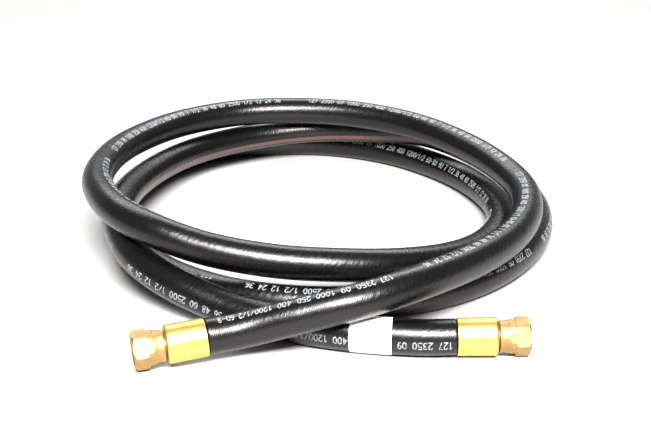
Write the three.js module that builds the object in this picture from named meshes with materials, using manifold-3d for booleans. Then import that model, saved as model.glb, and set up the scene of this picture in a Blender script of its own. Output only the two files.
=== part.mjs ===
// Fuel hose assembly: a loosely coiled half inch rubber hose with a crimped ferrule and a swivel nut at
// each end. Millimetres, +Z up, lying on a flat table at z = 0. The origin is on the table, under the
// middle of the whole assembly. End A is at the front left, where it crosses over the coil, and end B
// lies on the table at the front right.
import * as THREE from "three";
import { mergeVertices } from "three/addons/utils/BufferGeometryUtils.js";
import Module from "manifold-3d";

const wasm = await Module();
wasm.setup();

// Hose
const HOSE_BORE = 12.7; // half inch
const HOSE_OUTER = 23.5;
const HOSE_SIDES = 12;
const HOSE_STEPS = 80;

// Ferrule, crimped over the end of the hose
const FERRULE_LENGTH = 25.8;
const FERRULE_OUTER = 24.7;
const FERRULE_WALL = 1.7;
const FERRULE_BACK = 3; // closed end towards the nut
const FERRULE_SHOULDER = 2.6; // radius of the rounded edge round the closed end
const SHOULDER_STEPS = 4;

// Stem: a tail in the hose, a neck through the ferrule, and the flange and cone inside the nut
const STEM_BORE = 9.6;
const NECK_OUTER = 13;
const NECK_SHOWING = 1; // between the ferrule and the nut
const TAIL_SET_BACK = 1; // from the mouth of the ferrule to the tail's end
const FLANGE_OUTER = 16.6;
const FLANGE_LENGTH = 3;
const CONE_LENGTH = 3.2;
const CONE_TIP = 11.6; // outer diameter at the tip of the cone

// Swivel nut
const NUT_FLATS = 22.2; // seven eighths of an inch across the flats
const NUT_HEX_LENGTH = 9.4;
const NUT_CHAMFER = 1.1;
const COLLAR_OUTER = 22.1;
const COLLAR_SMALL = 20.5;
const COLLAR_SMALL_LENGTH = 3.8;
const COLLAR_TAPER_LENGTH = 4.2;
const COLLAR_LENGTH = 10.1;
const NUT_BACK = 2.5; // wall that holds the flange
const NUT_BORE = 17.5; // inside the threads
const NUT_MOUTH = 19.4; // countersink at the open end
const NUT_A_ROLL = 22; // how far each nut has turned on its neck, in degrees
const NUT_B_ROLL = -22;

// Blank paper label, wrapped round the hose near end B
const LABEL_LENGTH = 26.5;
const LABEL_THICKNESS = 0.25;
const LABEL_SUNK = 0.05; // below the outside of the hose
const LABEL_TO_FERRULE = 41;
const LABEL_SIDES = 24;
const LABEL_STEPS = 3;

// Gaps between pieces that lie together
const FIT_GAP = 0.3;
const SWIVEL_GAP = 0.35;

const ROUND_SIDES = 32;
const OVERLAP = 1; // how far pieces of one solid reach into each other

// Centre line of the hose, from the mouth of ferrule A to the mouth of ferrule B. The coil turns
// anticlockwise seen from above. Its first turn lies on top. The second and third lie on the table, and
// the third crosses over the second at the back right and again at the front left.
const ROUTE = [
  [-73.5, -211.9, 17.2], // end A, rising from the table
  [-48.6, -205, 19.3],
  [-12.5, -204.6, 28.9],
  [23.7, -200.8, 37],
  [62.7, -178.2, 40],
  [107.2, -130.6, 37.6],
  [138.2, -80.6, 36], // first turn, on top
  [155.2, -27.6, 36],
  [156.7, 22.4, 38],
  [132.7, 85.4, 44],
  [85.7, 146.4, 49.5],
  [33.2, 175.9, 53],
  [-21.8, 186.4, 54],
  [-76.3, 178.9, 54],
  [-126.8, 143.4, 54],
  [-161.8, 80.4, 55],
  [-172.8, 15.4, 57],
  [-167.8, -39.6, 58.3],
  [-145.3, -92.6, 57.9],
  [-117.3, -119.1, 53.8],
  [-80.3, -131.6, 45], // comes down to the table behind the front of the coil
  [-33.3, -137.1, 38],
  [11.7, -134.6, 34],
  [51.7, -120.6, 28.5],
  [89.7, -89.6, 20.5],
  [119.7, -47.6, 14],
  [138.7, -1.6, 12], // second turn, on the table
  [142.7, 50.4, 11.8],
  [120.7, 122.4, 11.8],
  [70.7, 188.4, 11.8],
  [15.7, 219.9, 11.8],
  [-41.8, 225.4, 11.8],
  [-99.3, 206.4, 11.8],
  [-142.3, 153.4, 11.8],
  [-163.3, 89.4, 11.8],
  [-166.3, 35.4, 11.8],
  [-155.3, -19.6, 11.8],
  [-131.8, -68.1, 11.8],
  [-100.8, -106.6, 11.8],
  [-58.3, -135.6, 11.8],
  [-8.3, -148.1, 11.8],
  [42.2, -143.6, 11.8],
  [84.7, -126.6, 11.8],
  [123.2, -93.6, 11.8],
  [154.7, -43.6, 11.8], // third turn, outside the second on the right
  [171.2, 15.4, 11.8],
  [169.7, 78.4, 13],
  [146.7, 131.4, 23.3],
  [96.2, 167.4, 36.6], // over the second turn at the back right
  [42.7, 192.4, 34],
  [-12.8, 202.9, 31],
  [-67.8, 186.4, 28.5],
  [-114.8, 143.4, 28.5],
  [-144.8, 70.9, 32],
  [-155.8, -11.1, 35.5],
  [-146.3, -76.6, 34.5], // over it again at the front left
  [-126.3, -119.6, 30.5],
  [-98.8, -145.6, 23.5],
  [-60.3, -165.1, 14.8],
  [-23.3, -181.1, 12.1],
  [16.7, -194.6, 11.8], // end B, on the table
  [60.2, -201.9, 12.2],
  [85.2, -202.1, 12.6],
];

const route = new THREE.CatmullRomCurve3(ROUTE.map((point) => new THREE.Vector3(...point)));
route.arcLengthDivisions = 4000;

const rubber = new THREE.MeshStandardMaterial({ color: 0x1b1b1c, roughness: 0.55, metalness: 0 });
const paper = new THREE.MeshStandardMaterial({ color: 0xf6f6f4, roughness: 0.7, metalness: 0 });
const plating = new THREE.MeshStandardMaterial({ color: 0xe6c23a, roughness: 0.3, metalness: 1 });
const brass = new THREE.MeshStandardMaterial({ color: 0xc99a4b, roughness: 0.35, metalness: 1 });

// Part of a curve, between two distances along it.
class Stretch extends THREE.Curve {
  constructor(curve, start, end) {
    super();
    this.curve = curve;
    this.start = start / curve.getLength();
    this.end = end / curve.getLength();
  }

  getPoint(t, target = new THREE.Vector3()) {
    return this.curve.getPointAt(this.start + (this.end - this.start) * t, target);
  }
}

// A closed geometry as a solid that can be joined and cut. Triangles with no area, as on the axis of a
// solid of revolution, are left out.
function solid(geometry) {
  const plain = geometry.index ? geometry.toNonIndexed() : geometry.clone();
  plain.deleteAttribute("normal");
  plain.deleteAttribute("uv");
  const merged = mergeVertices(plain, 1e-4);
  const corners = merged.index.array;
  const triangles = [];
  for (let at = 0; at < corners.length; at += 3) {
    const [a, b, c] = corners.slice(at, at + 3);
    if (a !== b && b !== c && c !== a) {
      triangles.push(a, b, c);
    }
  }
  const mesh = new wasm.Mesh({
    numProp: 3,
    vertProperties: new Float32Array(merged.attributes.position.array),
    triVerts: new Uint32Array(triangles),
  });
  return new wasm.Manifold(mesh);
}

function geometryOf(body) {
  const mesh = body.getMesh();
  const geometry = new THREE.BufferGeometry();
  geometry.setAttribute("position", new THREE.BufferAttribute(new Float32Array(mesh.vertProperties), 3));
  geometry.setIndex(new THREE.BufferAttribute(new Uint32Array(mesh.triVerts), 1));
  geometry.computeVertexNormals();
  return geometry;
}

// Solid of revolution about +Y from an outline of [radius, distance along Y] points, which is closed
// when its first point comes again at the end.
function revolved(outline) {
  const points = outline.map(([radius, along]) => new THREE.Vector2(radius, along));
  return solid(new THREE.LatheGeometry(points, ROUND_SIDES));
}

function ring(outer, inner, start, end) {
  return revolved([
    [inner / 2, start],
    [outer / 2, start],
    [outer / 2, end],
    [inner / 2, end],
    [inner / 2, start],
  ]);
}

function polygon(radius, sides) {
  const points = [];
  for (let side = 0; side < sides; side += 1) {
    const angle = (2 * Math.PI * side) / sides;
    points.push(new THREE.Vector2(radius * Math.cos(angle), radius * Math.sin(angle)));
  }
  return points;
}

function tube(path, outer, inner, sides, steps) {
  const section = new THREE.Shape(polygon(outer / 2, sides));
  section.holes.push(new THREE.Path(polygon(inner / 2, sides)));
  return solid(new THREE.ExtrudeGeometry(section, { steps, bevelEnabled: false, extrudePath: path }));
}

// Each fitting is made along +Y. Its origin is the middle of the ferrule's mouth, and its open end is
// at the far end. These are the places along it.
const HOSE_END = FERRULE_LENGTH - FERRULE_BACK - FIT_GAP;
const NUT_START = FERRULE_LENGTH + NECK_SHOWING;
const HEX_START = NUT_START + COLLAR_LENGTH;
const NUT_END = HEX_START + NUT_HEX_LENGTH;
const FLANGE_START = NUT_START + NUT_BACK + SWIVEL_GAP;
const CONE_START = FLANGE_START + FLANGE_LENGTH;
const STEM_END = CONE_START + CONE_LENGTH;

const FERRULE_INNER = FERRULE_OUTER - 2 * FERRULE_WALL;
const CRIMPED_OUTER = FERRULE_INNER - 2 * FIT_GAP;
const TAIL_OUTER = HOSE_BORE - 2 * FIT_GAP;
const LABEL_OUTER = HOSE_OUTER - 2 * LABEL_SUNK;
const LABEL_INNER = LABEL_OUTER - 2 * LABEL_THICKNESS;

function ferrule() {
  const outline = [
    [FERRULE_INNER / 2, 0],
    [FERRULE_OUTER / 2, 0],
  ];
  for (let step = 0; step <= SHOULDER_STEPS; step += 1) {
    const angle = (Math.PI / 2) * (step / SHOULDER_STEPS);
    outline.push([
      FERRULE_OUTER / 2 - FERRULE_SHOULDER * (1 - Math.cos(angle)),
      FERRULE_LENGTH - FERRULE_SHOULDER * (1 - Math.sin(angle)),
    ]);
  }
  outline.push(
    [NECK_OUTER / 2 + FIT_GAP, FERRULE_LENGTH],
    [NECK_OUTER / 2 + FIT_GAP, FERRULE_LENGTH - FERRULE_BACK],
    [FERRULE_INNER / 2, FERRULE_LENGTH - FERRULE_BACK],
    [FERRULE_INNER / 2, 0],
  );
  return revolved(outline);
}

function stem() {
  return revolved([
    [STEM_BORE / 2, TAIL_SET_BACK],
    [TAIL_OUTER / 2, TAIL_SET_BACK],
    [TAIL_OUTER / 2, HOSE_END],
    [NECK_OUTER / 2, HOSE_END + FIT_GAP],
    [NECK_OUTER / 2, FLANGE_START],
    [FLANGE_OUTER / 2, FLANGE_START],
    [FLANGE_OUTER / 2, CONE_START],
    [CONE_TIP / 2, STEM_END],
    [STEM_BORE / 2, STEM_END],
    [STEM_BORE / 2, TAIL_SET_BACK],
  ]);
}

function hexagon() {
  const corner = NUT_FLATS / 2 / Math.cos(Math.PI / 6);
  const prism = new THREE.CylinderGeometry(corner, corner, NUT_HEX_LENGTH, 6);
  prism.translate(0, HEX_START + NUT_HEX_LENGTH / 2, 0);
  const chamfer = revolved([
    [0, HEX_START - OVERLAP],
    [corner + OVERLAP, HEX_START - OVERLAP],
    [corner + OVERLAP, NUT_END - NUT_CHAMFER - OVERLAP],
    [corner - NUT_CHAMFER, NUT_END],
    [corner - NUT_CHAMFER, NUT_END + OVERLAP],
    [0, NUT_END + OVERLAP],
  ]);
  return solid(prism).intersect(chamfer);
}

function nut() {
  const collar = revolved([
    [0, NUT_START],
    [COLLAR_SMALL / 2, NUT_START],
    [COLLAR_SMALL / 2, NUT_START + COLLAR_SMALL_LENGTH],
    [COLLAR_OUTER / 2, NUT_START + COLLAR_SMALL_LENGTH + COLLAR_TAPER_LENGTH],
    [COLLAR_OUTER / 2, HEX_START + OVERLAP],
    [0, HEX_START + OVERLAP],
  ]);
  const socket = revolved([
    [0, NUT_START - OVERLAP],
    [NECK_OUTER / 2 + SWIVEL_GAP, NUT_START - OVERLAP],
    [NECK_OUTER / 2 + SWIVEL_GAP, NUT_START + NUT_BACK],
    [NUT_BORE / 2, NUT_START + NUT_BACK],
    [NUT_BORE / 2, NUT_END - (NUT_MOUTH - NUT_BORE) / 2],
    [NUT_MOUTH / 2, NUT_END],
    [NUT_MOUTH / 2, NUT_END + OVERLAP],
    [0, NUT_END + OVERLAP],
  ]);
  return hexagon().add(collar).subtract(socket);
}

// Where a fitting lies, at a place on the route, with its open end pointing along the direction.
function placed(position, direction) {
  const turn = new THREE.Quaternion().setFromUnitVectors(new THREE.Vector3(0, 1, 0), direction);
  return new THREE.Matrix4().compose(position, turn, new THREE.Vector3(1, 1, 1));
}

const PLACE_A = placed(route.getPoint(0), route.getTangent(0).negate());
const PLACE_B = placed(route.getPoint(1), route.getTangent(1));

// The hose, with the length under each ferrule pressed smaller, and a seat for the label.
function hose() {
  const length = route.getLength();
  const open = new Stretch(route, FIT_GAP, length - FIT_GAP);
  const end = ring(CRIMPED_OUTER, HOSE_BORE, -OVERLAP, HOSE_END);
  const seatStart = length - LABEL_TO_FERRULE - LABEL_LENGTH - FIT_GAP;
  const seat = new Stretch(route, seatStart, length - LABEL_TO_FERRULE + FIT_GAP);
  return tube(open, HOSE_OUTER, HOSE_BORE, HOSE_SIDES, HOSE_STEPS)
    .add(end.transform(PLACE_A.elements))
    .add(end.transform(PLACE_B.elements))
    .subtract(tube(seat, HOSE_OUTER + 4 * OVERLAP, LABEL_INNER - 2 * FIT_GAP, LABEL_SIDES, LABEL_STEPS));
}

function label() {
  const edge = route.getLength() - LABEL_TO_FERRULE;
  return tube(new Stretch(route, edge - LABEL_LENGTH, edge), LABEL_OUTER, LABEL_INNER, LABEL_SIDES, LABEL_STEPS);
}

const group = new THREE.Group();
group.name = "fuel_hose";

function addPart(name, body, material) {
  const mesh = new THREE.Mesh(geometryOf(body), material);
  mesh.name = name;
  group.add(mesh);
}

function addFitting(end, place, roll) {
  addPart(`ferrule_${end}`, ferrule().transform(place.elements), plating);
  addPart(`stem_${end}`, stem().transform(place.elements), brass);
  addPart(`nut_${end}`, nut().rotate([0, roll, 0]).transform(place.elements), brass);
}

addPart("hose", hose(), rubber);
addPart("label", label(), paper);
addFitting("a", PLACE_A, NUT_A_ROLL);
addFitting("b", PLACE_B, NUT_B_ROLL);

export default group;
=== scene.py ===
# %% [markdown]
# # A coiled fuel hose
#
# The hose lies on a table in a loose coil of about three and a half turns. Each end has a yellow plated
# ferrule, crimped on, and a brass nut that turns on its neck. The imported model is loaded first. Its solids
# are plain and faceted, so each of them gets a finer piece in its place, of the same size, and every
# piece moves with the body that its solid belongs to.

import bpy
import numpy as np
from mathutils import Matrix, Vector


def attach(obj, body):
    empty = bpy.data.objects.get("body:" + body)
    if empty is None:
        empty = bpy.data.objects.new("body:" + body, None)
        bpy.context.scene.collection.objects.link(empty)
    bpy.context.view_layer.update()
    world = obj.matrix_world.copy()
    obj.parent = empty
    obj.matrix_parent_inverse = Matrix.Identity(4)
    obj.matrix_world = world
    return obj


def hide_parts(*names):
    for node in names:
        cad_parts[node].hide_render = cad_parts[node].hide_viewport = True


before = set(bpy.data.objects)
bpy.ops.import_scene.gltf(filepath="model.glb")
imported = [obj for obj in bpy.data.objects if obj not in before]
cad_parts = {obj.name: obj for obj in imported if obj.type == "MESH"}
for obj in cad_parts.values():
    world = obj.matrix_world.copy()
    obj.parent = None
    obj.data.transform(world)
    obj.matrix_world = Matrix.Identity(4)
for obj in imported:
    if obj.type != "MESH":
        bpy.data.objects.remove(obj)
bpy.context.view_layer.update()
scene = bpy.context.scene

# %% [markdown]
# ## Camera
#
# The coil is seen from the front, from less than a metre away and about twenty degrees above the table.
# A short telephoto lens gives the mild perspective, in which the far side of the coil still looks almost
# as wide as the near side.

# %% Camera
MM = 0.001
IMAGE_WIDTH = 651
FOCAL_PIXELS = 1250

eye = bpy.data.cameras.new("camera")
eye.sensor_width = 36
eye.lens = FOCAL_PIXELS / IMAGE_WIDTH * eye.sensor_width
camera = bpy.data.objects.new("camera", eye)
camera.location = (1.7 * MM, -921.6 * MM, 360 * MM)
camera.rotation_euler = (np.radians(90 - 20.3), 0, 0)
scene.collection.objects.link(camera)
scene.camera = camera
print("lens:", round(eye.lens, 1), "mm")

# %% [markdown]
# ## The hose's route
#
# A stiff hose keeps wide, even bends. Its centre line is one smooth curve through listed points,
# the same points as in the solids, from the mouth of one ferrule to the mouth of the other. A centripetal
# Catmull-Rom curve passes through every point without loops or overshoot, which a Bezier curve with
# handles set by a rule doesn't promise. Straight ends are added, because the hose runs on into the
# ferrules.

# %% Route
ROUTE = MM * np.array([
    (-73.5, -211.9, 17.2), (-48.6, -205, 19.3), (-12.5, -204.6, 28.9), (23.7, -200.8, 37),
    (62.7, -178.2, 40), (107.2, -130.6, 37.6), (138.2, -80.6, 36), (155.2, -27.6, 36),
    (156.7, 22.4, 38), (132.7, 85.4, 44), (85.7, 146.4, 49.5), (33.2, 175.9, 53),
    (-21.8, 186.4, 54), (-76.3, 178.9, 54), (-126.8, 143.4, 54), (-161.8, 80.4, 55),
    (-172.8, 15.4, 57), (-167.8, -39.6, 58.3), (-145.3, -92.6, 57.9), (-117.3, -119.1, 53.8),
    (-80.3, -131.6, 45), (-33.3, -137.1, 38), (11.7, -134.6, 34), (51.7, -120.6, 28.5),
    (89.7, -89.6, 20.5), (119.7, -47.6, 14), (138.7, -1.6, 12), (142.7, 50.4, 11.8),
    (120.7, 122.4, 11.8), (70.7, 188.4, 11.8), (15.7, 219.9, 11.8), (-41.8, 225.4, 11.8),
    (-99.3, 206.4, 11.8), (-142.3, 153.4, 11.8), (-163.3, 89.4, 11.8), (-166.3, 35.4, 11.8),
    (-155.3, -19.6, 11.8), (-131.8, -68.1, 11.8), (-100.8, -106.6, 11.8), (-58.3, -135.6, 11.8),
    (-8.3, -148.1, 11.8), (42.2, -143.6, 11.8), (84.7, -126.6, 11.8), (123.2, -93.6, 11.8),
    (154.7, -43.6, 11.8), (171.2, 15.4, 11.8), (169.7, 78.4, 13), (146.7, 131.4, 23.3),
    (96.2, 167.4, 36.6), (42.7, 192.4, 34), (-12.8, 202.9, 31), (-67.8, 186.4, 28.5),
    (-114.8, 143.4, 28.5), (-144.8, 70.9, 32), (-155.8, -11.1, 35.5), (-146.3, -76.6, 34.5),
    (-126.3, -119.6, 30.5), (-98.8, -145.6, 23.5), (-60.3, -165.1, 14.8), (-23.3, -181.1, 12.1),
    (16.7, -194.6, 11.8), (60.2, -201.9, 12.2), (85.2, -202.1, 12.6),
])


SAMPLES = 80  # of the curve between two points of the route


def catmull_rom(points):
    """Centripetal Catmull-Rom curve: cubic pieces whose slopes at each point come from its two neighbours,
    weighted by the square roots of the distances between the points."""
    around = np.vstack([2 * points[0] - points[1], points, 2 * points[-1] - points[-2]])
    p0, p1, p2, p3 = around[:-3], around[1:-2], around[2:-1], around[3:]
    d0, d1, d2 = (np.linalg.norm(b - a, axis=1)[:, None] ** 0.5 for a, b in ((p0, p1), (p1, p2), (p2, p3)))
    slope1 = d1 * ((p1 - p0) / d0 - (p2 - p0) / (d0 + d1) + (p2 - p1) / d1)
    slope2 = d1 * ((p2 - p1) / d1 - (p3 - p1) / (d1 + d2) + (p3 - p2) / d2)
    t = np.linspace(0, 1, SAMPLES, endpoint=False)[None, :, None]
    p1, p2, slope1, slope2 = (value[:, None, :] for value in (p1, p2, slope1, slope2))
    pieces = (
        (2 * t**3 - 3 * t**2 + 1) * p1 + (t**3 - 2 * t**2 + t) * slope1
        + (3 * t**2 - 2 * t**3) * p2 + (t**3 - t**2) * slope2
    )
    return np.vstack([pieces.reshape(-1, 3), points[-1:]])


def lengths(line):
    """Distance along a line at each of its points: the running sum of its steps."""
    return np.concatenate([[0], np.cumsum(np.linalg.norm(np.diff(line, axis=0), axis=1))])


HOSE_END = 22.5 * MM  # how far the hose reaches into each ferrule

open_line = catmull_rom(ROUTE)
direction_a, direction_b = (
    step / np.linalg.norm(step) for step in (open_line[0] - open_line[1], open_line[-1] - open_line[-2])
)
whole_line = np.vstack([
    open_line[0] + HOSE_END * direction_a, open_line, open_line[-1] + HOSE_END * direction_b,
])
whole_along = lengths(whole_line) - HOSE_END  # zero at the mouth of ferrule A
OPEN_LENGTH = whole_along[-1] - HOSE_END
print("open length of hose:", round(OPEN_LENGTH, 4), "m")

# %% [markdown]
# ## Coordinates on the hose
#
# Everything on the hose, such as its print and its stripe, is easiest to give on a straight hose: a
# distance along it, an angle round it and a height above its centre line. Angle 0 points away from the
# middle of the coil, and 90 degrees points up. One function then bends the straight hose onto its route.

# %% From the straight hose to the coil
UP = np.array([0, 0, 1])


def hose_frame(along):
    """Centre, outward and upward directions at distances along the hose. Outward is the direction of travel
    crossed with the vertical, and upward is at right angles to both."""
    centre = np.stack([np.interp(along, whole_along, whole_line[:, axis]) for axis in range(3)], -1)
    step = 1 * MM
    after = np.stack([np.interp(along + step, whole_along, whole_line[:, axis]) for axis in range(3)], -1)
    before = np.stack([np.interp(along - step, whole_along, whole_line[:, axis]) for axis in range(3)], -1)
    travel = after - before
    travel /= np.linalg.norm(travel, axis=-1, keepdims=True)
    outward = np.cross(travel, UP)
    outward /= np.linalg.norm(outward, axis=-1, keepdims=True)
    return centre, outward, np.cross(outward, travel)


def on_hose(along, angle, radius):
    """Point at a distance along the hose, an angle round it and a radius from its centre line:
    centre + radius * (cos(angle) * outward + sin(angle) * upward). Nothing goes below the table."""
    centre, outward, upward = hose_frame(along)
    angle, radius = np.asarray(angle)[..., None], np.asarray(radius)[..., None]
    points = centre + radius * (np.cos(angle) * outward + np.sin(angle) * upward)
    points[..., 2] = np.maximum(points[..., 2], 0.02 * MM)
    return points


# Angle of the print round the hose, in degrees, at points of the route. The hose twists slowly as it
# turns, so the print climbs from the side of the hose to its top and over to the inside.
PRINT_ANGLES = [
    (0, 76), (3, 78), (6, 98), (9, 104), (12, 112), (15, 120), (17, 125), (20, 124), (22, 124),
    (25, 136), (27, 148), (31, 135), (35, 100), (38, 78), (41, 60), (43, 40), (44, 30), (47, 13),
    (50, 29), (53, 18), (56, 0), (59, -3), (62, -4),
]
point_along = np.interp(np.arange(len(ROUTE)) * SAMPLES, np.arange(len(open_line)), lengths(open_line))


def print_angle(along):
    """Angle of the print round the hose, in radians, smoothly between the listed places."""
    places = point_along[[index for index, _ in PRINT_ANGLES]]
    degrees = np.interp(along, places, [angle for _, angle in PRINT_ANGLES])
    return np.radians(degrees)


# %% [markdown]
# ## Meshes from grids
#
# Each piece is a grid of points that closes on itself both ways, like a ring: round the piece, and along
# its outline, out over the outside and back through the inside. That gives a closed skin with no seam. The
# mesh also keeps where each point would be on a straight hose or along a fitting's own axis, so that
# the patterns in its material follow its shape.

# %% Grid to mesh
def ring_mesh(name, points, straight, material, smooth=True):
    """Mesh of a grid of points (along the outline, round the piece), which closes both ways. Four
    neighbouring points make one face, turned outwards."""
    rows, columns = points.shape[:2]
    index = np.arange(rows * columns).reshape(rows, columns)
    below, beside = np.roll(index, -1, axis=0), np.roll(index, -1, axis=1)
    across = np.roll(below, -1, axis=1)
    faces = np.stack([index, beside, across, below], -1).reshape(-1, 4)
    return mesh_of(name, points.reshape(-1, 3), faces, straight.reshape(-1, 3), material, smooth)


def mesh_of(name, points, faces, straight, material, smooth):
    """Object with a mesh of these points and faces, which all have as many corners, and one material."""
    mesh = bpy.data.meshes.new(name)
    mesh.vertices.add(len(points))
    mesh.vertices.foreach_set("co", points.astype(np.float32).ravel())
    corners = faces.shape[1]
    mesh.loops.add(faces.size)
    mesh.loops.foreach_set("vertex_index", faces.astype(np.int32).ravel())
    mesh.polygons.add(len(faces))
    mesh.polygons.foreach_set("loop_start", np.arange(0, faces.size, corners, dtype=np.int32))
    mesh.attributes.new("straight", "FLOAT_VECTOR", "POINT")
    mesh.attributes["straight"].data.foreach_set("vector", straight.astype(np.float32).ravel())
    mesh.update(calc_edges=True)
    mesh.validate()
    mesh.polygons.foreach_set("use_smooth", np.full(len(faces), smooth))
    mesh.materials.append(material)
    piece = bpy.data.objects.new(name, mesh)
    scene.collection.objects.link(piece)
    print(name, len(faces) * (corners - 2), "triangles")
    return piece


# %% [markdown]
# ## Sums in a material
#
# A pattern is a sum worked out at each point of a surface. Nodes joined by hand are hard to read, so a
# small class lets the sums be written as Python, and each operator adds its Math node.

# %% Shader maths
class Link:
    """One output of a node. Sums on it add Math nodes."""

    def __init__(self, paint, socket):
        self.paint = paint
        self.socket = socket

    def math(self, operation, *values):
        return self.paint.node("Math", {"operation": operation}, dict(enumerate(values)))

    def __add__(self, other):
        return self.math("ADD", self, other)

    def __radd__(self, other):
        return self.math("ADD", other, self)

    def __sub__(self, other):
        return self.math("SUBTRACT", self, other)

    def __rsub__(self, other):
        return self.math("SUBTRACT", other, self)

    def __mul__(self, other):
        return self.math("MULTIPLY", self, other)

    def __lt__(self, other):
        return self.math("LESS_THAN", self, other)

    def wave(self, period):
        """Between 0 and 1 and back, once in each period."""
        return self.math("SINE", self * (2 * np.pi / period)) * 0.5 + 0.5

    def size(self):
        return self.math("ABSOLUTE", self)

    def between(self, low, high):
        """0 below low, 1 above high, and a smooth step between."""
        settings = {"interpolation_type": "SMOOTHSTEP"}
        inputs = {"Value": self, "From Min": low, "From Max": high}
        return self.paint.node("MapRange", settings, inputs)


class Paint:
    """A material under construction. node() adds any node: its settings come first, then the values or
    links of its inputs, by name or number. It returns the node's output of that name or number."""

    def __init__(self, name, **values):
        self.material = bpy.data.materials.new(name)
        self.material.use_nodes = True
        self.tree = self.material.node_tree
        self.shader = self.tree.nodes["Principled BSDF"]
        for key, value in values.items():
            self.shader.inputs[key.replace("_", " ")].default_value = value

    def node(self, kind, settings=None, inputs=None, output=0):
        node = self.tree.nodes.new("ShaderNode" + kind)
        for key, value in (settings or {}).items():
            setattr(node, key, value)
        for key, value in (inputs or {}).items():
            self.join(value, node.inputs[key])
        return Link(self, node.outputs[output])

    def join(self, value, socket):
        if isinstance(value, Link):
            self.tree.links.new(value.socket, socket)
        else:
            socket.default_value = value

    def give(self, **links):
        for key, value in links.items():
            self.join(value, self.shader.inputs[key.replace("_", " ")])

    def straight(self, scale=(1, 1, 1)):
        """Position on the straight piece, in metres, times a scale on each axis."""
        place = self.node("Attribute", {"attribute_name": "straight"}, output="Vector")
        return self.node("VectorMath", {"operation": "MULTIPLY"}, {0: place, 1: scale})

    def part(self, vector, axis):
        return self.node("SeparateXYZ", {}, {0: vector}, output=axis)

    def noise(self, scale, detail=2, roughness=0.5):
        """Soft random pattern between 0 and 1, with that many spots per metre along each axis."""
        inputs = {"Vector": self.straight(scale), "Scale": 1, "Detail": detail, "Roughness": roughness}
        return self.node("TexNoise", {}, inputs)

    def blend(self, mask, first, second):
        """First colour where the mask is 0, second where it is 1."""
        return self.node("Mix", {"data_type": "RGBA"}, {0: mask, 6: first, 7: second}, output=2)

    def bump(self, height, depth):
        """Normals of a surface whose height, from 0 to 1, stands for that depth in metres."""
        return self.node("Bump", {}, {"Height": height, "Distance": depth, "Strength": 1})


# %% [markdown]
# ## Hose rubber
#
# The cover is black rubber, cured under wrapped cloth. The cloth leaves fine ribs round the hose and
# faint slanted streaks, so the gloss breaks into many small strokes. One dusty pink line runs along
# the side opposite the print. Bump gives the ribs, because they are a few hundredths of a millimetre high.

# %% Hose rubber
RIB_PITCH = 1.3 * MM
CLOTH_TURNS = 32  # ribs that the slant of the cloth passes in one turn round the hose


def hose_rubber():
    """Black rubber. The slanted place of a point is its distance along the hose less a share of its angle
    round it. Its height is a sum of the ribs, the streaks of the cloth and a fine grain."""
    paint = Paint("hose_rubber", IOR=1.5, Specular_IOR_Level=0.4)
    place = paint.straight()
    across, up, along = (paint.part(place, axis) for axis in "XYZ")
    slanted = along - up.math("ARCTAN2", up, across) * (CLOTH_TURNS * RIB_PITCH / (2 * np.pi))
    ribs = slanted + paint.noise((90, 90, 90)) * 0.004
    cloth = paint.node("CombineXYZ", {}, {"X": across * 110, "Y": up * 110, "Z": slanted * 420})
    streaks = paint.node("TexNoise", {}, {"Vector": cloth, "Scale": 1, "Detail": 3})
    grain = paint.noise((1500, 1500, 1500), detail=2, roughness=0.7)
    patches = paint.noise((25, 25, 18), detail=3)
    height = ribs.wave(RIB_PITCH) * 0.25 + streaks * 1.3 + grain * 0.45
    line = (across < 0) * (1 - up.size().between(1.8 * MM, 2.3 * MM))
    dust = grain.between(0.66, 0.76) * patches.between(0.35, 0.7)
    black = paint.blend(dust * 0.5, (0.0012, 0.0012, 0.0013, 1), (0.05, 0.05, 0.05, 1))
    colour = paint.blend(line * 0.9, black, (0.10, 0.05, 0.045, 1))
    paint.give(
        Base_Color=colour,
        Roughness=0.15 + streaks * 0.16 + grain * 0.08,
        Normal=paint.bump(height, 0.16 * MM),
    )
    return paint.material


# %% Hose
HOSE_RADIUS = 11.75 * MM
BORE_RADIUS = 6.35 * MM
CRIMPED_RADIUS = 10.4 * MM
DROP_START = 1 * MM  # before the mouth of a ferrule, where the hose begins to get thinner
DROP_LENGTH = 1.2 * MM
HOSE_SIDES = 36


def hose_radius(along):
    """Outer radius, which drops smoothly to the crimped size within a millimetre of each mouth."""
    inside = np.maximum(-along, along - OPEN_LENGTH)
    drop = np.clip((inside + DROP_START) / DROP_LENGTH, 0, 1)
    return HOSE_RADIUS - (HOSE_RADIUS - CRIMPED_RADIUS) * drop**2 * (3 - 2 * drop)


def make_hose():
    """The outline runs along the outside from end A to end B and back through the bore. Each of its points
    is carried round the centre line."""
    start, end = -HOSE_END, OPEN_LENGTH + HOSE_END
    outside = np.concatenate([
        np.arange(start, -1.5 * MM, 5 * MM), np.linspace(-1.4 * MM, 1 * MM, 9),
        np.linspace(2 * MM, OPEN_LENGTH - 2 * MM, 1720),
        np.linspace(OPEN_LENGTH - 1 * MM, OPEN_LENGTH + 1.4 * MM, 9),
        np.arange(end, OPEN_LENGTH + 1.5 * MM, -5 * MM)[::-1],
    ])
    inside = np.linspace(end, start, 420)
    along = np.concatenate([outside, inside])[:, None]
    radius = np.concatenate([hose_radius(outside), np.full(len(inside), BORE_RADIUS)])[:, None]
    angle = np.linspace(0, 2 * np.pi, HOSE_SIDES, endpoint=False)[None, :]
    along, angle, radius = np.broadcast_arrays(along, angle, radius)
    turned = angle - print_angle(along)
    straight = np.stack([radius * np.cos(turned), radius * np.sin(turned), along], -1)
    hose = ring_mesh("rubber_hose", on_hose(along, angle, radius), straight, hose_rubber())
    return hose, hose_frame(outside)[0]


hose, hose_centres = make_hose()
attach(hose, "hose_assembly")
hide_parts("hose")

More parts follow.
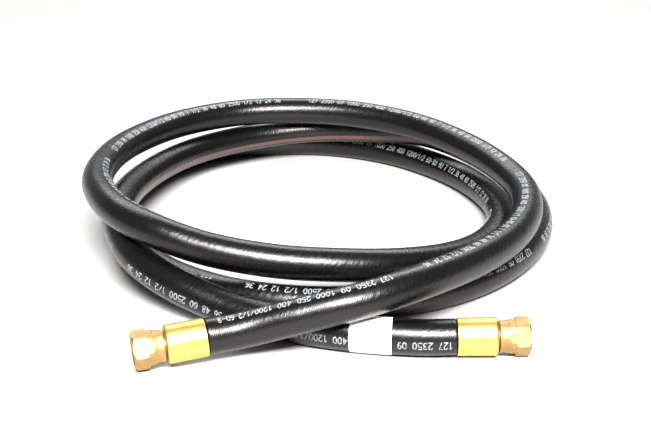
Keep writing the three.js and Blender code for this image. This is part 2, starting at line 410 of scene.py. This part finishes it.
# %% [markdown]
# ## Print
#
# A line of white print runs along the hose. Here it holds only plain numbers. Each figure is a few strokes
# on a small square, and each stroke becomes a thin raised bar of ink that is bent onto the hose. A
# picture of the print would blur when seen from near, and real strokes stay sharp.

# %% Figures as strokes
FIGURES = {
    "0": [[(0.5, 1), (0.12, 0.85), (0, 0.5), (0.12, 0.15), (0.5, 0), (0.88, 0.15), (1, 0.5),
           (0.88, 0.85), (0.5, 1)]],
    "1": [[(0.2, 0.78), (0.6, 1), (0.6, 0)]],
    "2": [[(0, 0.8), (0.3, 1), (0.75, 1), (1, 0.76), (0.9, 0.5), (0, 0), (1, 0)]],
    "3": [[(0, 0.9), (0.4, 1), (0.88, 0.9), (0.88, 0.65), (0.4, 0.53), (0.92, 0.4), (0.92, 0.14),
           (0.45, 0), (0, 0.1)]],
    "4": [[(0.75, 0), (0.75, 1), (0, 0.3), (1, 0.3)]],
    "5": [[(0.92, 1), (0.12, 1), (0.08, 0.56), (0.6, 0.62), (1, 0.4), (0.88, 0.1), (0.45, 0), (0, 0.1)]],
    "6": [[(0.85, 0.95), (0.35, 0.92), (0, 0.45), (0.15, 0.08), (0.5, 0), (0.9, 0.12), (0.95, 0.42),
           (0.6, 0.58), (0.06, 0.42)]],
    "7": [[(0, 1), (1, 1), (0.35, 0)]],
    "8": [[(0.5, 0.53), (0.08, 0.72), (0.2, 0.95), (0.5, 1), (0.8, 0.95), (0.92, 0.72), (0.5, 0.53),
           (0.03, 0.3), (0.15, 0.05), (0.5, 0), (0.85, 0.05), (0.97, 0.3), (0.5, 0.53)]],
    "9": [[(0.15, 0.05), (0.65, 0.08), (1, 0.55), (0.85, 0.92), (0.5, 1), (0.1, 0.88), (0.05, 0.58),
           (0.4, 0.42), (0.94, 0.58)]],
    "/": [[(0, 0), (1, 1)]],
    "-": [[(0.1, 0.5), (0.9, 0.5)]],
}
PRINTED = "127 2350 09 1000 250 400 1200/1/2 60-80 90 7 1/2 36 48 60 2500 1/2 12 24 36"
FIGURE_PITCH = 3.05 * MM
FIGURE_WIDTH = 2.2 * MM
FIGURE_HEIGHT = 4.7 * MM
STROKE_WIDTH = 0.54 * MM
LONGEST_STROKE = 1.8 * MM
BLOCK_PITCH = 254 * MM  # from the start of the print to the start of its next repeat
LAST_BLOCK = 30 * MM  # no repeat starts nearer to ferrule A
PRINT_START = 4 * MM  # from ferrule B
PRINT_STOP = 12 * MM  # from ferrule A
INK_HEIGHT = 0.05 * MM
INK_SUNK = 0.08 * MM


def strokes_of(text):
    """Short straight strokes of a line of text, as start and end points (reading direction, height). Long
    strokes are cut up, so that they can follow the curve of the hose."""
    starts, ends = [], []
    for place, figure in enumerate(text):
        for stroke in FIGURES.get(figure, []):
            points = np.array(stroke) * (FIGURE_WIDTH, FIGURE_HEIGHT) + (place * FIGURE_PITCH, 0)
            for a, b in zip(points[:-1], points[1:]):
                cuts = max(1, int(np.ceil(np.linalg.norm(b - a) / LONGEST_STROKE)))
                steps = np.linspace(a, b, cuts + 1)
                starts.extend(steps[:-1])
                ends.extend(steps[1:])
    return np.array(starts), np.array(ends)


def white_ink():
    paint = Paint("white_ink", IOR=1.45)
    worn = paint.noise((900, 900, 900), detail=2)
    paint.give(
        Base_Color=paint.blend(worn.between(0.35, 0.6), (0.12, 0.13, 0.14, 1), (0.30, 0.32, 0.345, 1)),
        Roughness=0.5 + worn * 0.2,
    )
    return paint.material


def make_print():
    """Every stroke is a flat bar: its four corners stand half a stroke width beside its ends, and its eight
    vertices are those corners below and above the rubber's surface."""
    starts, ends = strokes_of(PRINTED)
    blocks = np.arange(0, OPEN_LENGTH - LAST_BLOCK, BLOCK_PITCH)
    starts = np.concatenate([starts + (block, 0) for block in blocks])
    ends = np.concatenate([ends + (block, 0) for block in blocks])
    kept = ends[:, 0] < OPEN_LENGTH - PRINT_STOP
    starts, ends = starts[kept], ends[kept]
    ahead = (ends - starts) / np.linalg.norm(ends - starts, axis=1, keepdims=True) * STROKE_WIDTH / 2
    side = np.stack([-ahead[:, 1], ahead[:, 0]], -1)
    starts, ends = starts - ahead * 0.6, ends + ahead * 0.6
    corners = np.stack([starts - side, ends - side, ends + side, starts + side], 1)
    along = OPEN_LENGTH - PRINT_START - corners[..., 0]
    turned = -(corners[..., 1] - FIGURE_HEIGHT / 2) / HOSE_RADIUS
    along, turned = np.concatenate([along, along], 1), np.concatenate([turned, turned], 1)
    depth = np.array([-INK_SUNK] * 4 + [INK_HEIGHT] * 4)
    radius = np.broadcast_to(HOSE_RADIUS + depth, along.shape)
    points = on_hose(along, turned + print_angle(along), radius)
    straight = np.stack([radius * np.cos(turned), radius * np.sin(turned), along], -1)
    box = np.array([(3, 2, 1, 0), (4, 5, 6, 7), (0, 1, 5, 4), (1, 2, 6, 5), (2, 3, 7, 6), (3, 0, 4, 7)])
    faces = (np.arange(len(points))[:, None, None] * 8 + box).reshape(-1, 4)
    return mesh_of("print_line", points.reshape(-1, 3), faces, straight.reshape(-1, 3), white_ink(), False)


print_line = make_print()
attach(print_line, "hose_assembly")

# %% [markdown]
# ## Label
#
# A strip of white paper film is wrapped once round the hose near end B. It is left blank. The strip ends
# on top of its own start, so the ring has one small step, and it is a little uneven.

# %% Label
LABEL_EDGE = 41 * MM
LABEL_LENGTH = 26.5 * MM


def label_paper():
    paint = Paint("label_paper", IOR=1.45, Roughness=0.45)
    tone = paint.noise((60, 60, 60), detail=3)
    paint.give(
        Base_Color=paint.blend(tone, (0.80, 0.80, 0.79, 1), (0.90, 0.90, 0.89, 1)),
        Normal=paint.bump(paint.noise((400, 400, 120), detail=3), 0.06 * MM),
    )
    return paint.material


def make_label():
    """The outline of the strip's wall, carried round the hose. The radius grows by one thickness over the
    turn and drops back at the overlap, and low waves make it uneven."""
    thickness = 0.16 * MM
    steps = np.linspace(0, 1, 24)
    outline_along = np.concatenate([steps, steps[::-1]])[:, None]
    outside = np.concatenate([np.ones(24), np.zeros(24)])[:, None]
    turn = np.linspace(0, 1, 120, endpoint=False)[None, :]
    angle = 2 * np.pi * turn - 1.9
    end = OPEN_LENGTH - LABEL_EDGE + 0.5 * MM * np.cos(angle)
    along = end - LABEL_LENGTH * (1 - outline_along) + 0 * angle
    wave = 0.03 * MM * (np.sin(5 * angle + 6 * outline_along) + np.sin(2 * angle - 4 * outline_along))
    radius = HOSE_RADIUS + 0.03 * MM + thickness * (outside + 0.8 * turn) + wave * outside
    along, angle, radius = np.broadcast_arrays(along, angle, radius)
    straight = np.stack([radius * np.cos(angle), radius * np.sin(angle), along], -1)
    return ring_mesh("blank_label", on_hose(along, angle, radius), straight, label_paper())


label = make_label()
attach(label, "hose_assembly")
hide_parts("label")

# %% [markdown]
# ## Fittings
#
# Ferrule, stem and nut are turned on a lathe, so each is an outline carried round an axis. The nut also has
# six flats, cut into its outline: at each angle the radius is the smaller of the turned outline and the
# distance to the nearest flat. That gives the curved edge that a chamfer leaves on a real nut, with no
# boolean cut. The thread is a small saw wave in the radius that moves one pitch along in each turn.

# %% Turned pieces
def fitting_axes(direction):
    """Directions across a fitting: the shortest turn from +Y to its axis, done to +Z and +X."""
    turn = Vector((0, 1, 0)).rotation_difference(Vector(direction))
    return np.array(turn @ Vector((0, 0, 1))), np.array(turn @ Vector((1, 0, 0)))


FITTINGS = {
    "a": (open_line[0], direction_a, *fitting_axes(direction_a)),
    "b": (open_line[-1], direction_b, *fitting_axes(direction_b)),
}


def on_fitting(end, along, angle, radius):
    """Point at a distance along a fitting's axis from the ferrule's mouth, an angle round it and a radius:
    mouth + along * axis + radius * (cos(angle) * up + sin(angle) * side)."""
    mouth, axis, up, side = FITTINGS[end]
    along, angle, radius = (value[..., None] for value in np.broadcast_arrays(along, angle, radius))
    return mouth + along * axis + radius * (np.cos(angle) * up + np.sin(angle) * side)


def refined(outline, step=0.35):
    """The outline with points at most a step apart, in millimetres, and its own corners kept."""
    points = []
    for a, b in zip(outline, np.roll(outline, -1, axis=0)):
        count = max(2, int(np.ceil(np.linalg.norm(b - a) / step)) + 1)
        points.append(np.linspace(a, b, count)[:-1])
    return np.vstack(points)


def rounded(outline, radii):
    """The outline with each corner replaced by an arc, of the radius given for it."""
    outline, points = np.array(outline, float), []
    befores, afters = np.roll(outline, 1, axis=0), np.roll(outline, -1, axis=0)
    for before, corner, after, radius in zip(befores, outline, afters, radii):
        if not radius:
            points.append(corner)
            continue
        a, b = (end - corner for end in (before, after))
        a, b = a / np.linalg.norm(a), b / np.linalg.norm(b)
        half = np.arccos(np.clip(a @ b, -1, 1)) / 2
        t = np.linspace(0, 1, 7)[:, None]
        reach = radius / np.tan(half)
        start, end = corner + a * reach, corner + b * reach
        points.extend((1 - t) ** 2 * start + 2 * t * (1 - t) * corner + t**2 * end)
    return np.array(points)


def turned_piece(name, end, outline, material, sides=144, cut=None):
    """The outline of (distance along, radius) carried round the fitting's axis. cut may change the radius
    by angle."""
    along, radius = (outline * MM).T[:, :, None]
    angle = np.linspace(0, 2 * np.pi, sides, endpoint=False)[None, :]
    along, radius, angle = np.broadcast_arrays(along, radius, angle)
    if cut:
        radius = cut(along / MM, radius / MM, angle) * MM
    straight = np.stack([radius * np.cos(angle), radius * np.sin(angle), along], -1)
    return ring_mesh(name, on_fitting(end, along, angle, radius), straight, material)


# %% [markdown]
# ## Metal finishes
#
# The ferrule has bright yellow plating with a soft gloss. The nut and stem are plain machined brass, a
# little more orange, with fine turning marks round them.

# %% Metals
def metal(name, light, dark, roughness, marks):
    """Metal with fine lines round its axis, faint cloudy patches and a few small scratches."""
    paint = Paint(name, Metallic=1.0)
    lines = paint.noise((40, 40, 5200), detail=2)
    clouds = paint.noise((160, 160, 160), detail=4)
    scratches = paint.noise((3000, 500, 300), detail=1).between(0.68, 0.72)
    paint.give(
        Base_Color=paint.blend(clouds.between(0.3, 0.75), light, dark),
        Roughness=roughness + clouds * 0.12 + scratches * 0.15,
        Normal=paint.bump(lines * 0.6 + clouds * 0.4 - scratches * 0.3, marks * MM),
    )
    return paint.material


plating = metal("yellow_plating", (0.74, 0.55, 0.17, 1), (0.66, 0.45, 0.09, 1), 0.32, 0.012)
brass = metal("machined_brass", (0.42, 0.285, 0.125, 1), (0.34, 0.22, 0.08, 1), 0.46, 0.02)

# %% [markdown]
# ## Ferrules, stems and nuts
#
# Sizes are in millimetres here. Distances run along the fitting's axis from the mouth of the ferrule, and
# every size across it is a radius, as in the outlines.

# %% Sizes of a fitting
FERRULE_BACK, FERRULE_END = 22.8, 25.8
FERRULE_OUTER, FERRULE_MOUTH, FERRULE_INNER = 12.4, 12.2, 10.65
CRIMP_DEPTH = 0.08
TAIL_START, TAIL_END = 1, 22.5
TAIL, STEM_BORE = 6.05, 4.8
NECK, FERRULE_HOLE, NUT_HOLE = 6.5, 6.8, 6.85
FLANGE_START, FLANGE_END, CONE_END = 29.65, 32.65, 35.85
FLANGE, CONE_TIP = 8.3, 5.8
NUT_START, NUT_BACK, HEX_START, NUT_END = 26.8, 29.3, 36.9, 46.3
TAPER_START, TAPER_END = 31.0, 34.2
COLLAR_SMALL, COLLAR = 10.25, 11.1
NUT_BORE, NUT_MOUTH = 8.75, 9.7
FLATS = 22.2
NECK_FLATS = 20.9
NECK_FLATS_START = 33.1
CORNER = FLATS / 2 / np.cos(np.pi / 6)
THREAD_PITCH = 1.41
THREAD_DEPTH = 0.75
THREAD_START, THREAD_END = 31.2, 45.2
NUT_ROLL = {"a": np.radians(22), "b": np.radians(-22)}

# %% Ferrules
FERRULE_OUTLINE = rounded(
    [
        (0, FERRULE_MOUTH), (0, FERRULE_INNER), (FERRULE_BACK, FERRULE_INNER),
        (FERRULE_BACK, FERRULE_HOLE), (FERRULE_END, FERRULE_HOLE), (FERRULE_END, FERRULE_OUTER),
    ],
    [0.5, 0.4, 0, 0, 0.4, 2.2],
)[::-1]


def crimp(along, radius, angle):
    """Eight crimping dies leave eight shallow flats: the outside is up to 0.08 mm lower in the middle of
    each."""
    outside = np.clip((radius - 11.5) / 0.5, 0, 1)
    pressed = outside * np.clip((along - 2) / 3, 0, 1) * np.clip((24 - along) / 3, 0, 1)
    return radius - CRIMP_DEPTH * pressed * (0.5 + 0.5 * np.cos(8 * angle))


for end in "ab":
    piece = turned_piece(f"plated_ferrule_{end}", end, refined(FERRULE_OUTLINE), plating, cut=crimp)
    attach(piece, "hose_assembly")
    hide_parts(f"ferrule_{end}")

# %% Stems
STEM_OUTLINE = rounded(
    [
        (TAIL_START, STEM_BORE), (TAIL_START, TAIL), (TAIL_END, TAIL), (FERRULE_BACK, NECK),
        (FLANGE_START, NECK), (FLANGE_START, FLANGE), (FLANGE_END, FLANGE), (CONE_END, CONE_TIP),
        (CONE_END, STEM_BORE),
    ],
    [0.2, 0.2, 0, 0, 0, 0.3, 0.3, 0.25, 0.2],
)

for end in "ab":
    piece = turned_piece(f"brass_stem_{end}", end, refined(STEM_OUTLINE), brass, sides=96)
    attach(piece, "hose_assembly")
    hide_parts(f"stem_{end}")

# %% Nuts
NUT_OUTLINE = rounded(
    [
        (NUT_START, NUT_HOLE), (NUT_START, COLLAR_SMALL), (TAPER_START, COLLAR_SMALL),
        (TAPER_END, COLLAR), (HEX_START, COLLAR), (HEX_START, CORNER - 0.5), (HEX_START + 0.5, CORNER),
        (NUT_END - 1.6, CORNER), (NUT_END, CORNER - 1.7), (NUT_END, NUT_MOUTH), (NUT_END - 1, NUT_BORE),
        (NUT_BACK, NUT_BORE), (NUT_BACK, NUT_HOLE),
    ],
    [0.2, 0.5, 0.8, 0.5, 0.15, 0.1, 0.2, 0.2, 0.15, 0.15, 0, 0, 0],
)


def nut_cut(roll):
    def cut(along, radius, angle):
        """The smaller of the turned radius and the distance to a flat, and the thread as a saw wave in the
        bore that moves along by one pitch in each turn."""
        from_flat = np.cos((angle - roll) % (np.pi / 3) - np.pi / 6)
        flats = np.where(along > HEX_START - 0.01, FLATS, NECK_FLATS) / 2 / from_flat
        flats = np.where(along < NECK_FLATS_START, np.inf, flats)
        thread = np.abs((along / THREAD_PITCH - angle / (2 * np.pi)) % 1 - 0.5) * 2
        threaded = (np.abs(radius - NUT_BORE) < 0.01) & (along > THREAD_START) & (along < THREAD_END)
        return np.where(threaded, radius + THREAD_DEPTH * thread, np.minimum(radius, flats))
    return cut


for end in "ab":
    outline = refined(NUT_OUTLINE, step=0.2)
    piece = turned_piece(f"brass_nut_{end}", end, outline, brass, sides=240, cut=nut_cut(NUT_ROLL[end]))
    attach(piece, f"nut_{end}")
    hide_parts(f"nut_{end}")

# %% [markdown]
# ## One free hose
#
# The whole object is one free hose, which carries the other pieces.

# %% [markdown]
# ## Table and light
#
# The coil lies on a smooth pale table. A soft light in front and above gives the long highlights along
# the hose, and it is strong enough to turn the table white. A second one lights the table behind the
# coil, and the dim world fills the shadow sides, so the rubber stays black.

# %% Table
def table_white():
    paint = Paint("table_white", IOR=1.45, Roughness=0.5, Base_Color=(0.42, 0.419, 0.417, 1))
    return paint.material


floor_mesh = bpy.data.meshes.new("table")
floor_mesh.from_pydata([(-6, -6, 0), (6, -6, 0), (6, 6, 0), (-6, 6, 0)], [], [(0, 1, 2, 3)])
floor_mesh.materials.append(table_white())
table = bpy.data.objects.new("table", floor_mesh)
scene.collection.objects.link(table)


# %% Light
def soft_light(name, place, target, size, power, colour=(1, 1, 1)):
    """A rectangular area light at a place, turned to face a target."""
    lamp = bpy.data.lights.new(name, "AREA")
    lamp.shape = "RECTANGLE"
    lamp.size, lamp.size_y = size
    lamp.energy = power
    lamp.color = colour
    light = bpy.data.objects.new(name, lamp)
    light.location = place
    light.rotation_euler = (Vector(target) - Vector(place)).to_track_quat("-Z", "Y").to_euler()
    scene.collection.objects.link(light)


soft_light("key_light", (0.1, -1.25, 1.15), (0, 0, 0.03), (0.8, 0.42), 140, (1, 0.98, 0.96))
soft_light("back_light", (0, 2.2, 1.9), (0, 2.2, 0), (3.0, 1.6), 110)
world = bpy.data.worlds.new("white_room")
world.use_nodes = True
world.node_tree.nodes["Background"].inputs["Color"].default_value = (0.95, 0.97, 1.0, 1)
world.node_tree.nodes["Background"].inputs["Strength"].default_value = 0.28
scene.world = world
scene.view_settings.view_transform = "Standard"
